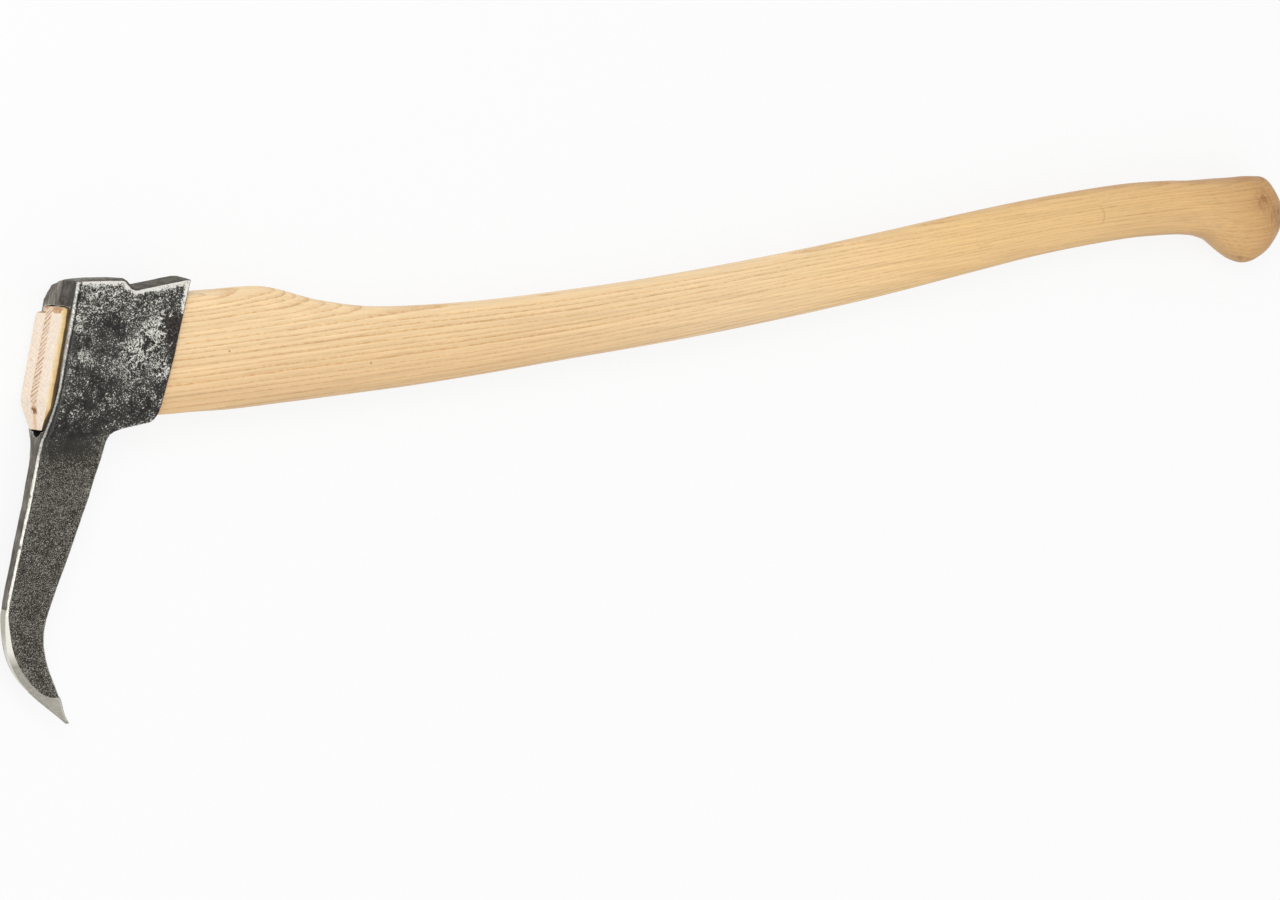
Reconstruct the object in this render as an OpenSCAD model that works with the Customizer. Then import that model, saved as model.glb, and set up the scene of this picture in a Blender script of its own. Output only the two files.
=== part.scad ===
// Log pick: a forged steel pick head on a one metre ash handle, held by a wooden wedge.
// Every length is in millimetres. The tool lies on its side, as it would on a floor:
//   X runs along the eye, from the head to the knob, Y towards the top of the head,
//   and Z is the thickness, with the floor at Z = 0 and the tool's mid plane at half of head_t.
// The origin lies on the floor under the middle of the eye.
// The head and the handle are lofts: each row below is one section, and the curves between
// the rows come from a cubic spline through them.

/* [Steel head] */
// Thickness of the head over the eye, cheek to cheek
head_t = 40; // [37:0.5:46]
// Height of the top of the head over the bore axis
poll_h = 54.5; // [52:0.5:60]
// Depth of the beak's point under the bore axis
beak_drop = 225; // [190:1:250]
// Thickness of the beak where it leaves the eye
beak_t = 10.6; // [8:0.2:14]
// Width of the broken edge along the cheeks
edge_w = 1.2; // [0.6:0.1:2]

/* [Eye and tongue] */
// Width of the eye, across the thickness of the head
eye_w = 32.6; // [28:0.2:33]
// Height of the eye's roof over the bore axis
eye_top = 38.4; // [36:0.2:40]
// Depth of the eye's floor under the bore axis
eye_floor = 38.6; // [37.8:0.1:39.2]
// Gap between the tongue and the eye, all round
fit_gap = 0.25; // [0.1:0.05:0.5]
// Radius of the notch in the eye's floor at the front
notch_r = 6; // [4:0.5:7]
// Depth of that notch below the eye's floor
notch_d = 3.9; // [1:0.1:5]
// How far the tongue stands out of the front of the head
tongue_out = 5.5; // [3:0.5:10]

/* [Wooden wedge] */
// Thickness of the wedge at the front
wedge_t = 8; // [5:0.5:10]
// Thickness of the wedge at its thin end
wedge_tip = 2; // [1:0.5:3]
// How deep the wedge sits in the tongue
wedge_l = 58; // [40:1:70]
// Height of the wedge from its lower edge to the top of the tongue
wedge_h = 58; // [40:1:62]
// Gap on each face of the wedge
wedge_gap = 0.1; // [0.05:0.05:0.2]

/* [Ash handle] */
// Length of the handle from the tongue's end to the knob's end, along the bore
handle_l = 1002; // [850:1:1150]
// Height of the belly just behind the head
belly_h = 77; // [70:1:80]
// Thickness of the belly
belly_t = 33; // [30:0.5:38]
// Height of the grip at its thinnest
grip_h = 37.5; // [32:0.5:44]
// Thickness of the grip
grip_t = 26; // [22:0.5:32]
// Height of the knob
knob_h = 60; // [52:1:70]
// Thickness of the knob
knob_t = 39.6; // [34:0.2:39.8]

/* [Hidden] */

mid_z = head_t / 2;             // the tool's mid plane
ring_n = 32;                    // points round each section of the handle and the eye
end_tilt = 0.30;                // how far the tongue's end leans back for each mm of height
end_knee = -18;                 // below this height the end is square
front_0 = -44.6;                // the head's front on the bore axis
tongue_x = front_0 - tongue_out;    // the tongue's end on the bore axis
knob_x = tongue_x + end_tilt * end_knee + handle_l;    // the far end of the knob
beak_k = (beak_drop - 60) / 164.7;  // stretch of the beak below the neck

// ---- cubic spline through rows, where the first number of a row is the one stepped along ----
function slope(t, i) =
    i == 0 ? (t[1] - t[0]) / (t[1][0] - t[0][0]) :
    i == len(t) - 1 ? (t[i] - t[i - 1]) / (t[i][0] - t[i - 1][0]) :
    (t[i + 1] - t[i - 1]) / (t[i + 1][0] - t[i - 1][0]);
function between(t, i, s) =
    let (h = t[i + 1][0] - t[i][0])
    (2*s*s*s - 3*s*s + 1) * t[i] + (s*s*s - 2*s*s + s) * h * slope(t, i)
    + (3*s*s - 2*s*s*s) * t[i + 1] + (s*s*s - s*s) * h * slope(t, i + 1);
function refine(t, n) = concat(
    [for (i = [0 : len(t) - 2], j = [0 : n - 1]) between(t, i, j / n)], [t[len(t) - 1]]);

// ---- a closed loft through rings that all have the same number of points ----
// Each ring is mirror-symmetric in the order of its points (k and n - k face each other), so the
// end caps are strips of flat quads and never cross a bend in the end face.
module loft(rings) {
    n = len(rings[0]);
    m = len(rings);
    half = floor(n / 2);
    polyhedron(
        points = [for (r = rings, p = r) p],
        faces = concat(
            [for (j = [0 : m - 2], k = [0 : n - 1])
                [(j + 1)*n + (k + 1) % n, j*n + (k + 1) % n, j*n + k]],
            [for (j = [0 : m - 2], k = [0 : n - 1])
                [(j + 1)*n + k, (j + 1)*n + (k + 1) % n, j*n + k]],
            [for (k = [0 : half - 1], f = cap_strip(k, n)) f],
            [for (k = [0 : half - 1], f = cap_strip(k, n))
                [for (q = [len(f) - 1 : -1 : 0]) (m - 1)*n + f[q]]]
        ),
        convexity = 8);
}
function cap_strip(k, n) =
    let (a = k, b = k + 1, c = n - k - 1, d = (n - k) % n)
    a == d ? [[a, b, c]] : b == c ? [[a, b, d]] : [[a, b, c], [a, c, d]];

// ---- the head, as flat sections from above its top down to the point of the beak ----
// height, front, rear, half thickness, half width of the front face, start of the full thickness.
// The last two are 0 where the front edge only has the plain broken edge. A seventh number says
// how much thinner each half is at the front than at the rear.
collar_rows = [
    [ 66.0, -25.2,  60.9, 20.0, 0, 0],
    [  0.0, -44.6,  38.3, 20.0, 0, 0],
    [-12.0, -47.8,  33.7, 20.0, 0, 0],
    [-21.0, -50.3,  30.2, 19.5, 0, 0, 1.3],
    [-31.0, -53.1,  27.2, 17.8, 0, 0, 2.8],
    [-35.6, -54.2,  26.2, 15.6, 0, 0, 2.8],
    [-39.5, -55.2,  24.2, 13.2, 0, 0, 2.3],
    [-41.2, -55.7,  21.8, 12.4, 0, 0, 2.3],
    [-42.2, -55.9,  12.0, 11.4, 0, 0, 2.0],
    [-43.1, -56.1,   2.6, 10.4, 0, 0, 1.6],
    [-44.2, -56.4,  -2.4,  9.5, 0, 0, 1.3],
    [-46.0, -56.8,  -5.8,  8.4, 0, 0, 0.9],
    [-50.0, -57.8,  -8.4,  7.0, 0, 0, 0.3],
    [-54.5, -58.9,  -9.8,  6.1, 0, 0],
    [-60.0, -60.4, -11.6,  5.6, 0, 0]
];
beak_rows = [
    [ -60.0, -60.4, -11.6, 5.60, 4.4, -59.2],
    [ -71.0, -63.7, -17.0, 5.35, 4.2, -62.5],
    [ -84.0, -67.6, -22.8, 5.30, 4.1, -66.4],
    [ -98.0, -72.5, -29.9, 5.10, 3.9, -71.3],
    [-110.0, -76.4, -35.8, 5.00, 3.8, -75.2],
    [-124.0, -80.9, -42.7, 4.80, 3.6, -79.7],
    [-138.0, -85.6, -50.2, 4.60, 3.5, -84.4],
    [-147.0, -88.1, -54.7, 4.55, 3.4, -86.9],
    [-154.0, -89.1, -58.1, 4.50, 3.2, -87.4],
    [-160.0, -89.5, -60.5, 4.45, 2.9, -87.1],
    [-167.0, -89.5, -62.2, 4.40, 2.6, -86.6],
    [-173.0, -89.0, -62.7, 4.35, 2.3, -85.8],
    [-180.0, -87.5, -62.1, 4.30, 2.0, -83.8],
    [-187.0, -84.7, -60.6, 4.30, 1.7, -80.6],
    [-194.0, -80.6, -58.5, 4.25, 1.2, -76.2],
    [-201.0, -74.8, -56.2, 4.20, 0.8, -69.8],
    [-205.0, -71.0, -54.9, 4.15, 0.7, -64.4],
    [-208.5, -67.4, -53.8, 4.00, 0.6, -55.6],
    [-214.0, -61.4, -52.2, 2.90, 0.5, -53.8],
    [-219.5, -55.3, -50.5, 1.90, 0.5, -51.8],
    [-224.7, -49.8, -47.6, 0.90, 0.4, -48.6]
];
function full_t(t) =
    t < 5.3 ? t / 5.3 * beak_t / 2 :
    beak_t / 2 + (t - 5.3) / 14.7 * (head_t - beak_t) / 2;
function level(y) = y > -60 ? y : -60 + (y + 60) * beak_k;
function head_ring(r) =
    let (y = level(r[0]), t = full_t(r[3]), xf = r[1], xr = r[2],
         tf = len(r) > 6 ? full_t(r[3] - r[6]) : t,
         land = r[4] == 0 ? tf - edge_w : min(r[4] * t / r[3], t - 0.2),
         xb = r[5] == 0 ? xf + edge_w : r[5],
         c = min(edge_w, 0.25 * (xr - xb), 0.45 * t))
    [for (p = [[xf, -land], [xb, -tf], [xr - c, -t], [xr, c - t],
               [xr, t - c], [xr - c, t], [xb, tf], [xf, land]]) [p[0], y, mid_z + p[1]]];
head_rings = concat(
    [for (i = [0 : len(collar_rows) - 2]) head_ring(collar_rows[i])],
    [for (r = refine(beak_rows, 2)) head_ring(r)]);

// The top of the head along X, as heights over the bore axis from the near cheek to the far one:
// cheek edge, shoulder, middle, far shoulder, far edge. The front block is higher than the
// collar behind its notch, and its far front corner is forged away.
top_rows = [
    [-140.0, 62.5, 61.0, 58.0, 51.0, 20.0],
    [ -31.0, 54.4, 54.9, 54.3, 50.6, 40.0],
    [ -20.0, 53.3, 55.0, 54.7, 53.5, 51.8],
    [  -6.0, 52.1, 54.0, 53.7, 53.0, 52.1],
    [   3.8, 51.0, 53.0, 52.7, 52.0, 51.2],
    [   5.6, 50.2, 52.7, 52.4, 51.8, 50.8],
    [   7.8, 47.2, 52.2, 51.9, 51.4, 49.6],
    [  10.4, 44.3, 50.5, 50.4, 49.4, 45.4],
    [  12.4, 43.5, 48.0, 48.0, 46.4, 43.3],
    [  14.2, 43.6, 45.4, 46.0, 44.7, 43.0],
    [  18.0, 44.2, 45.2, 46.1, 44.5, 43.0],
    [  30.0, 45.0, 46.0, 47.0, 45.3, 43.7],
    [  42.0, 45.8, 46.8, 47.8, 46.0, 44.5],
    [  50.0, 46.3, 47.4, 48.4, 46.7, 45.1],
    [  54.0, 45.9, 47.0, 48.1, 46.4, 44.8],
    [  75.0, 40.0, 41.0, 42.0, 41.0, 40.0]
];
function top_ring(r) =
    let (k = poll_h - 54.5, t = mid_z + 0.6)
    [for (p = [[t - 7, r[2] + k], [t, r[1] + k], [t, -beak_drop - 20], [-t, -beak_drop - 20],
               [-t, r[5] + k], [8 - t, r[4] + k], [0, r[3] + k]])
        [r[0], p[1], mid_z + p[0]]];

// ---- sections of the tongue, the eye and the handle ----
// The tongue is a flat-sided bar with broken corners above and a keel below, given as the
// distances of its flat faces from its centre line; the handle is an oval.
function bar_r(a, c, w, up, down) =
    let (s = abs(sin(a)), q = cos(a),
         d = [[1, 0, w], [0, 1, up - c], [0, -1, down + c],
              [0.7071, 0.7071, 0.7071 * (w + up - 1.5) - 0.7071 * c],
              [0.8797, -0.4755, 0.8797 * w + 0.4755 * (22.5 + c)]])
    min([for (f = d) let (g = f[0]*s + f[1]*q) g > 0.001 ? f[2] / g : 1000]);
function oval_r(a, w, h, n) =
    pow(pow(abs(sin(a)) / w, n) + pow(abs(cos(a)) / h, n), -1 / n);
function ring_at(x, c, tilt, knee, radii) =
    [for (k = [0 : ring_n - 1])
        let (a = 360 * k / ring_n, y = c + radii[k] * cos(a))
        [x + tilt * max(y, knee), y, mid_z + radii[k] * sin(a)]];
function bar_ring(x, c, w, up, down, tilt, knee) =
    ring_at(x, c, tilt, knee, [for (k = [0 : ring_n - 1]) bar_r(360*k/ring_n, c, w, up, down)]);

eye_x0 = -beak_drop;            // the eye is cut from well in front of the head to well behind it
eye_x1 = beak_drop;
tongue_w = eye_w / 2 - fit_gap;
tongue_up = eye_top - fit_gap;
tongue_down = 37.3 - (38.6 - eye_floor);

// Handle rows: place, centre height, half height, half thickness, roundness of the oval,
// share of the oval in the section. Behind the collar the place is stretched with handle_l.
function stretch(x) = x < 130 ? x : 130 + (x - 130) * (knob_x - 77 - 130) / (870 - 130);
b_k = belly_h / 77;
b_t = belly_t / 33;
g_k = grip_h / 37.5;
g_t = grip_t / 26;
k_k = knob_h / 60;
k_t = knob_t / 39.6;
handle_rows = [
    [  58, -1.0, 38.3 * b_k, 16.4 * b_t, 2.6, 0.10],
    [  80, -2.2, 38.6 * b_k, 16.5 * b_t, 2.6, 0.45],
    [ 104, -2.9, 38.6 * b_k, 16.5 * b_t, 2.5, 0.85],
    [ 117, -3.7, 37.9 * b_k, 16.4 * b_t, 2.5, 0.97],
    [ 130, -5.6, 36.2 * b_k, 16.3 * b_t, 2.4, 1.00],
    [ 145, -8.4, 33.5 * b_k, 16.1 * b_t, 2.4, 1.00],
    [ 159, -10.7, 31.3 * b_k, 15.9 * b_t, 2.3, 1.00],
    [ 189, -14.2, 27.9 * b_k, 15.5 * b_t, 2.3, 1.00],
    [ 220, -16.1, 26.1 * b_k, 15.1 * b_t, 2.3, 1.00],
    [ 281, -17.2, 23.9 * (b_k + g_k) / 2, 14.4 * (b_t + g_t) / 2, 2.3, 1.00],
    [ 343, -16.5, 22.6 * g_k, 14.0 * g_t, 2.3, 1.00],
    [ 407, -15.4, 22.0 * g_k, 13.7 * g_t, 2.3, 1.00],
    [ 471, -12.9, 21.8 * g_k, 13.5 * g_t, 2.3, 1.00],
    [ 537, -9.2, 21.5 * g_k, 13.4 * g_t, 2.3, 1.00],
    [ 603, -4.4, 21.2 * g_k, 13.2 * g_t, 2.3, 1.00],
    [ 670, 1.5, 20.4 * g_k, 13.1 * g_t, 2.3, 1.00],
    [ 739, 6.9, 19.3 * g_k, 13.0 * g_t, 2.3, 1.00],
    [ 808, 9.3, 18.8 * g_k, 13.2 * g_t, 2.3, 1.00],
    [ 848, 7.8, 18.7 * g_k, 14.4 * g_t, 2.3, 1.00],
    [ 866, 5.8, 19.0 * g_k, 15.8 * g_t, 2.3, 1.00]
];
// Knob rows: the place is measured back from the end of the knob.
knob_rows = [
    [-72, 4.2, 20.1 * (g_k + k_k) / 2, 16.9 * (g_t + k_t) / 2, 2.3, 1.00],
    [-64, 2.2, 21.8 * k_k, 17.6 * k_t, 2.3, 1.00],
    [-56, -1.2, 24.9 * k_k, 18.8 * k_t, 2.3, 1.00],
    [-47, -4.9, 28.1 * k_k, 19.4 * k_t, 2.3, 1.00],
    [-39, -6.9, 29.8 * k_k, 19.75 * k_t, 2.3, 1.00],
    [-34, -7.1, 29.9 * k_k, 19.8 * k_t, 2.3, 1.00],
    [-29, -6.6, 29.2 * k_k, 19.6 * k_t, 2.3, 1.00],
    [-21, -5.2, 26.9 * k_k, 18.8 * k_t, 2.3, 1.00],
    [-16, -3.9, 24.5 * k_k, 17.3 * k_t, 2.2, 1.00],
    [-11, -4.4, 19.1 * k_k, 14.8 * k_t, 2.1, 1.00],
    [ -6, -5.0, 12.3 * k_k, 10.6 * k_t, 2.0, 1.00],
    [ -2, -4.6, 6.4 * k_k, 5.6 * k_t, 2.0, 1.00],
    [  0, -4.6, 2.2 * k_k, 1.9 * k_t, 2.0, 1.00]
];
function handle_ring(r) =
    ring_at(r[0], r[1], 0, 0, [for (k = [0 : ring_n - 1])
        let (a = 360 * k / ring_n)
        (1 - r[5]) * bar_r(a, r[1], r[3], r[1] + r[2], r[2] - r[1]) + r[5] * oval_r(a, r[3], r[2], r[4])]);
back_rows = refine(concat(
    [for (r = handle_rows) [stretch(r[0]), r[1], r[2], r[3], r[4], r[5]]],
    [for (r = knob_rows) [knob_x + r[0], r[1], r[2], r[3], r[4], r[5]]]), 2);
handle_rings = concat(
    [bar_ring(tongue_x, 0.35, tongue_w, tongue_up - 1.2, tongue_down, end_tilt, end_knee),
     bar_ring(tongue_x + 1.5, 0.35, tongue_w, tongue_up, tongue_down, end_tilt, end_knee),
     bar_ring(24, 0.35, tongue_w, tongue_up, tongue_down, 0, 0)],
    [bar_ring(40, 0, tongue_w, tongue_up - 0.4, tongue_down + 0.9, 0, 0)],
    [for (r = back_rows) handle_ring(r)]);

// Wedge: its outline from the side, as a block that narrows towards its thin end.
wedge_x0 = tongue_x;
wedge_x1 = tongue_x + wedge_l;
wedge_low = tongue_up - wedge_h;
module wedge_block(gap, front, over) {
    y0 = wedge_low - gap;
    y1 = tongue_up + over;
    k = (wedge_t - wedge_tip) / 2 / wedge_l;    // how fast each face closes in
    xa = tongue_x - 20;
    xb = wedge_x1 + gap;
    ha = wedge_t / 2 + gap + k * (tongue_x - xa);
    hb = wedge_tip / 2 + gap - k * gap;
    translate([0, y1, mid_z]) rotate([90, 0, 0]) linear_extrude(y1 - y0)
        polygon([[xa, -ha], [xb, -hb], [xb, hb], [xa, ha]]);
}
// Everything in front of the tongue's end, and the broken top corner of the end.
module front_off(extra) {
    x = tongue_x - extra;
    translate([0, 0, -20]) linear_extrude(head_t + 40)
        polygon([[x + end_tilt * end_knee, -80], [x + end_tilt * end_knee, end_knee],
                 [x + end_tilt * (tongue_up - 1.2), tongue_up - 1.2],
                 [x + 1.5 + end_tilt * tongue_up, tongue_up],
                 [x + 8 + end_tilt * 80, 80], [x - 90, 80], [x - 90, -80]]);
}

// The cuts below are made on lofts of flat facets, and resize([0, 0, 0]) changes no size: it only
// has each cut solid come out of OpenSCAD as one mesh, which is quick and exact for flat facets.
module steel_head() color([0.24, 0.24, 0.235]) resize([0, 0, 0])
    difference() {
        intersection() {
            loft([for (r = head_rings) r]);
            loft([for (r = top_rows) top_ring(r)]);
        }
        loft([bar_ring(eye_x0, 0.35, eye_w / 2, eye_top, eye_floor, 0, 0),
              bar_ring(eye_x1, 0.35, eye_w / 2, eye_top, eye_floor, 0, 0)]);
        // a round notch in the eye's floor, which shows as a dark gap under the tongue's end
        translate([tongue_x - 12, notch_r - eye_floor - notch_d, mid_z]) rotate([0, 90, 0])
            cylinder(h = 50, r1 = notch_r, r2 = notch_r / 3, $fn = 24);
    }

module ash_handle() color([0.90, 0.76, 0.55]) resize([0, 0, 0])
    difference() {
        loft(handle_rings);
        wedge_block(wedge_gap, 0, 10);
    }

module wooden_wedge() color([0.85, 0.68, 0.47])
    difference() {
        wedge_block(0, 0, 0);
        front_off(0);
    }

steel_head();
ash_handle();
wooden_wedge();
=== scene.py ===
# %% [markdown]
# # A log pick in Blender
#
# A log pick is a forester's hand tool: a forged steel beak on a long ash handle, used to hook,
# roll and drag timber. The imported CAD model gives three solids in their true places. This
# lesson dresses them: a forged head with scale and worn edges, a handle of clear ash, and the
# wedge that holds the two together. Blender works in metres, so lengths are written in
# millimetres times MM, and every piece stays inside the box of the CAD model.

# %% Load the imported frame
import math
from types import SimpleNamespace

import bmesh
import bpy
from mathutils import Matrix, Vector, kdtree, noise


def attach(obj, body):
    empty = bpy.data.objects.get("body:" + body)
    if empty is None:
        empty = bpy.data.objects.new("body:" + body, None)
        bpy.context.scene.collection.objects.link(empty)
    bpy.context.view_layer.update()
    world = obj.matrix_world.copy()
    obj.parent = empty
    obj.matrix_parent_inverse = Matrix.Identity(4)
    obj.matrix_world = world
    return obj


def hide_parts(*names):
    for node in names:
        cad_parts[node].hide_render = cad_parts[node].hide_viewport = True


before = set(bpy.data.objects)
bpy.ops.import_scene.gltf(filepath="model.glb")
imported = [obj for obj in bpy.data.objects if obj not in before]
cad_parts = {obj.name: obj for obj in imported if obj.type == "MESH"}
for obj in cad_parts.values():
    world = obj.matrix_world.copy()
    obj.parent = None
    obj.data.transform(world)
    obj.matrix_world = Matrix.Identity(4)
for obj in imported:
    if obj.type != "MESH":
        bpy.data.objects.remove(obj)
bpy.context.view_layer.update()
MM = 0.001
MID = 20                          # the tool's mid plane over the floor, in millimetres

# %% [markdown]
# ## The camera
#
# The photograph was taken with a long lens from well in front of the head, looking down at the
# near cheek. A camera can be placed by eye, but it is quicker to write down its three axes: 34
# degrees round from the square view, and 4.5 degrees up from it. The tool's bore is turned 4.5
# degrees to the picture's lower edge, so the same axes are turned into the tool's own frame.

# %% The camera
TURN, LIFT, BORE_TILT = math.radians(34), math.radians(4.5), math.radians(4.5)
DISTANCE = 5.0                    # metres from the tool, so that the lens is long
PICTURE = 1280                    # width of the picture, in pixels
MM_PER_PIXEL = 0.6528             # at that distance
SENSOR = 36                       # width of the camera's sensor, in millimetres
SCALE = 1.012                     # the tool is a little larger than the first guess of its size
CENTRE = (-400.0, 73.5)           # the bore's middle, in millimetres from the picture's middle


def to_tool(a):
    """Turn a direction of the picture's plane into the tool's frame."""
    c, s = math.cos(BORE_TILT), math.sin(BORE_TILT)
    return Vector((a[0] * c + a[1] * s, -a[0] * s + a[1] * c, a[2]))


back = Vector((-math.sin(TURN) * math.cos(LIFT), math.sin(LIFT),
               math.cos(TURN) * math.cos(LIFT)))
right = Vector((0, 1, 0)).cross(back).normalized()
up = back.cross(right)
stand = back * DISTANCE / MM
place = to_tool(((stand.x - CENTRE[0]) * SCALE, (stand.y - CENTRE[1]) * SCALE,
                 stand.z * SCALE)) * MM
place.z += MID * MM

camera = bpy.data.objects.new("camera", bpy.data.cameras.new("camera"))
bpy.context.scene.collection.objects.link(camera)
camera.matrix_world = Matrix.Translation(place) @ Matrix(
    (to_tool(right), to_tool(up), to_tool(back))).transposed().to_4x4()
camera.data.sensor_width = SENSOR
camera.data.lens = SENSOR * DISTANCE / MM / MM_PER_PIXEL / PICTURE
camera.data.clip_end = 50
bpy.context.scene.camera = camera
print("camera at", tuple(round(v, 3) for v in place), "lens", round(camera.data.lens, 1))

# %% [markdown]
# ## Nodes without tears
#
# A material is a small graph. Made one line at a time, a graph takes more room than the tool
# itself, so one helper adds a node, sets its properties and joins its inputs. A value that is a
# socket is linked, and any other value is written into the input. A socket knows its own graph,
# so the rest of the helpers, which name the few nodes that come again and again, ask it for that.


# %% Helpers for nodes
def home(*values):
    """The graph of the first socket among some values."""
    return next(v.id_data for v in values if isinstance(v, bpy.types.NodeSocket))


def join(value, socket):
    """Link a socket to an input, or write a plain value into it."""
    if isinstance(value, bpy.types.NodeSocket):
        home(socket).links.new(value, socket)
    else:
        socket.default_value = value


def add(tree, kind, *values, **settings):
    """Add a node; values go to its inputs in order, and named ones by name or property."""
    node = tree.nodes.new("ShaderNode" + kind)
    for key in [k for k in settings if hasattr(node, k)]:
        setattr(node, key, settings.pop(key))
    for key, value in list(enumerate(values)) + list(settings.items()):
        join(value, node.inputs[key])
    return node.outputs[0]


def maths(operation, *values, clamp=False):
    return add(home(*values), "Math", *values, operation=operation, use_clamp=clamp)


def plus(a, b):
    return maths("ADD", a, b)


def minus(a, b):
    return maths("SUBTRACT", a, b)


def times(a, b):
    return maths("MULTIPLY", a, b)


def away(value, middle):
    """How far a value is from a middle one, on either side."""
    return maths("ABSOLUTE", minus(value, middle))


def fade(value, low, high, first=0.0, last=1.0):
    """A straight line between two values, held outside them."""
    return add(home(value), "MapRange", value, low, high, first, last)


def ramp(value, *stops):
    """A curve of grey levels: stops are (place, level) pairs."""
    out = add(home(value), "ValToRGB", value)
    line = out.node.color_ramp
    while len(line.elements) < len(stops):
        line.elements.new(0.5)
    for element, (place, level) in zip(line.elements, stops):
        element.position, element.color = place, grey(level)
    return out


# %% Helpers for colours and places
def grey(level):
    return (level, level, level, 1)


def linear(red, green, blue):
    """An sRGB colour, 0 to 255, as the linear numbers that a shader takes."""
    return tuple((c / 255 / 12.92 if c < 10.3 else ((c / 255 + 0.055) / 1.055) ** 2.4)
                 for c in (red, green, blue)) + (1,)


def mix(share, first, second, kind="MIX"):
    """Share 0 gives the first colour, and share 1 the second."""
    node = home(share, first, second).nodes.new("ShaderNodeMix")
    node.data_type, node.blend_type = "RGBA", kind
    for key, value in ((0, share), (6, first), (7, second)):
        join(value, node.inputs[key])
    return node.outputs[2]


def tint(share, shade, source, target):
    """Multiply a shade, so that the source colour becomes the target and lines stay visible."""
    ratio = tuple(min(1.0, t / c) for t, c in zip(target[:3], source[:3])) + (1,)
    return mix(share, shade, ratio, kind="MULTIPLY")


def position(tree):
    """The point that is shaded, in the tool's own frame."""
    return add(tree, "TexCoord").node.outputs["Object"]


def axes(spot):
    """The x, y and z of a point: along the bore, up the head, and over the floor."""
    return tuple(add(home(spot), "SeparateXYZ", spot).node.outputs)


def speckle(spot, scale, **settings):
    """Noise at a scale, in waves a metre; three scales stretch it along a grain."""
    if isinstance(scale, tuple):
        spot, scale = add(home(spot), "Mapping", spot, Scale=scale), 1.0
    return add(home(spot), "TexNoise", Vector=spot, Scale=scale, **settings)


def distance_to(spot, centre):
    """How far a point is from a centre, which is given in millimetres."""
    return add(home(spot), "VectorMath", spot, tuple(c * MM for c in centre),
               operation="DISTANCE").node.outputs["Value"]


print("ash by eye:", tuple(round(c, 3) for c in linear(238, 206, 158)[:3]))

# %% [markdown]
# ## Floor and light
#
# The tool is shown on white. A real studio lights the paper from behind; here the floor answers
# most camera rays with plain white and the rest with its own shaded paint, which keeps a soft
# shadow under the tool. The sky is white too, and one large lamp from the head's side gives the
# steel its form.

# %% The floor and the world
FLOOR_REACH, FLOOR_GAP = 6.0, 0.0005      # half its width, and how far it lies under the tool
PLAIN_WHITE = 0.86                        # share of the camera's rays that see no shading
PAPER, SKY, SKY_LEVEL = (0.82, 0.82, 0.81, 1), (0.97, 0.98, 1.0, 1), 0.72


def background_rays(tree, share):
    """How much of a ray sees the background as plain white: camera, glossy, transmission."""
    path = tree.nodes.new("ShaderNodeLightPath")
    rays = plus(path.outputs["Is Camera Ray"], path.outputs["Is Glossy Ray"])
    rays = maths("ADD", rays, path.outputs["Is Transmission Ray"], clamp=True)
    return times(rays, share)


floor_mesh = bmesh.new()
bmesh.ops.create_grid(floor_mesh, x_segments=1, y_segments=1, size=FLOOR_REACH)
bmesh.ops.translate(floor_mesh, verts=floor_mesh.verts, vec=(0.4, 0, -FLOOR_GAP))
floor = bpy.data.objects.new("floor", bpy.data.meshes.new("floor"))
floor_mesh.to_mesh(floor.data)
floor_mesh.free()
bpy.context.scene.collection.objects.link(floor)
paper = bpy.data.materials.new("white_floor")
paper.use_nodes = True
tree = paper.node_tree
tree.nodes.clear()
paint = add(tree, "BsdfDiffuse", PAPER)
white = add(tree, "Emission", grey(1), 1.0)
both = add(tree, "MixShader", background_rays(tree, PLAIN_WHITE), paint, white)
join(both, tree.nodes.new("ShaderNodeOutputMaterial").inputs[0])
floor.data.materials.append(paper)

world = bpy.data.worlds.new("soft_white")
world.use_nodes = True
bpy.context.scene.world = world
tree = world.node_tree
tree.nodes.clear()
dome = add(tree, "Background", SKY, SKY_LEVEL)
white = add(tree, "Background", grey(1), 1.0)
both = add(tree, "MixShader", background_rays(tree, 1.0), dome, white)
join(both, tree.nodes.new("ShaderNodeOutputWorld").inputs[0])
bpy.context.scene.view_settings.view_transform = "Standard"
print("floor:", tuple(floor.dimensions), "sky:", world.name)


# %% The lamps
def lamp(name, place, target, size, power):
    light = bpy.data.lights.new(name, "AREA")
    light.shape, light.size, light.size_y = "RECTANGLE", size, size
    light.energy = power
    obj = bpy.data.objects.new(name, light)
    aim = (Vector(target) - Vector(place)).to_track_quat("-Z", "Y")
    obj.matrix_world = Matrix.Translation(place) @ aim.to_matrix().to_4x4()
    bpy.context.scene.collection.objects.link(obj)


lamp("soft_key", place=(-1.2, 1.3, 2.2), target=(0.35, 0, 0), size=1.6, power=34)
lamp("soft_fill", place=(1.6, -1.6, 2.0), target=(0.4, 0, 0), size=1.6, power=8)

# %% [markdown]
# ## Shared effects as node groups
#
# The steel surfaces share their scale: a dark skin from the forge, broken by small crooked
# flecks of bare metal. The wood surfaces share their growth rings. Each effect is one node
# group with named inputs, so that each material sets its own values. A fleck is where a noise
# crosses its middle value, which gives thin crooked lines, and a finer noise breaks them up.


# %% The group of fleck and scale
def group(name, inputs, outputs):
    """An empty node group; returns it with its input sockets by name and its output node."""
    tree = bpy.data.node_groups.new(name, "ShaderNodeTree")
    for key, value in inputs.items():
        socket = tree.interface.new_socket(key, in_out="INPUT", socket_type="NodeSocketFloat")
        socket.default_value = value
    for key in outputs:
        tree.interface.new_socket(key, in_out="OUTPUT", socket_type="NodeSocketFloat")
    source = tree.nodes.new("NodeGroupInput")
    sink = tree.nodes.new("NodeGroupOutput")
    return tree, {s.name: s for s in source.outputs if s.name}, sink


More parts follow.
